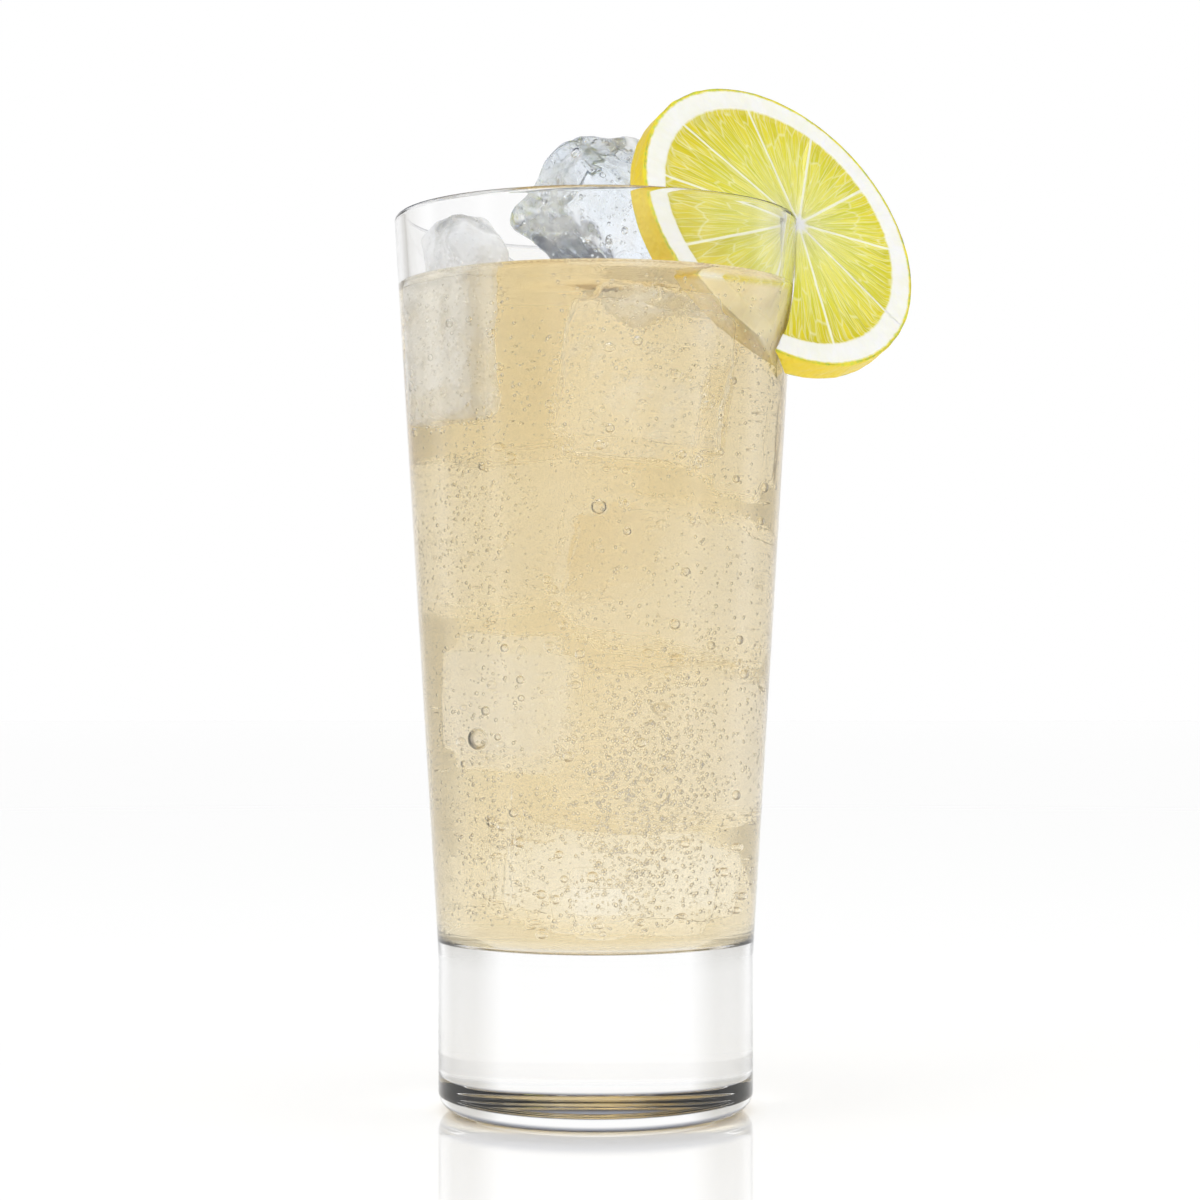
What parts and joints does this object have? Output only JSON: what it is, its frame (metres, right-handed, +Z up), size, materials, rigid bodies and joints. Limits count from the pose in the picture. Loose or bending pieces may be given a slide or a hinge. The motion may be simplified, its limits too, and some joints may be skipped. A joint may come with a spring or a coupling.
{
  "type": "iced cocktail in a tall glass",
  "caption": "Tall flared tumbler with a deep solid foot, filled with a pale amber drink, with ice standing out of it and a lemon wheel hung on the rim.",
  "frame": {"origin": "middle of the flat face that the tumbler stands on, on the tumbler's axis", "axes": "+Z up along the tumbler's axis, +X towards the side of the rim where the lemon wheel hangs, the viewer at -Y"},
  "size_m": [0.0918, 0.0702, 0.1798],
  "materials": {
    "clear_glass": "polished",
    "drink": "clear liquid",
    "ice": "wet",
    "lemon": "moist"
  },
  "bodies": {
    "root": {"glass": "clear_glass", "drink": "drink", "top_ice": "ice", "left_ice": "ice", "back_ice": "ice", "lemon_wheel": "lemon"}
  },
  "joints": []
}
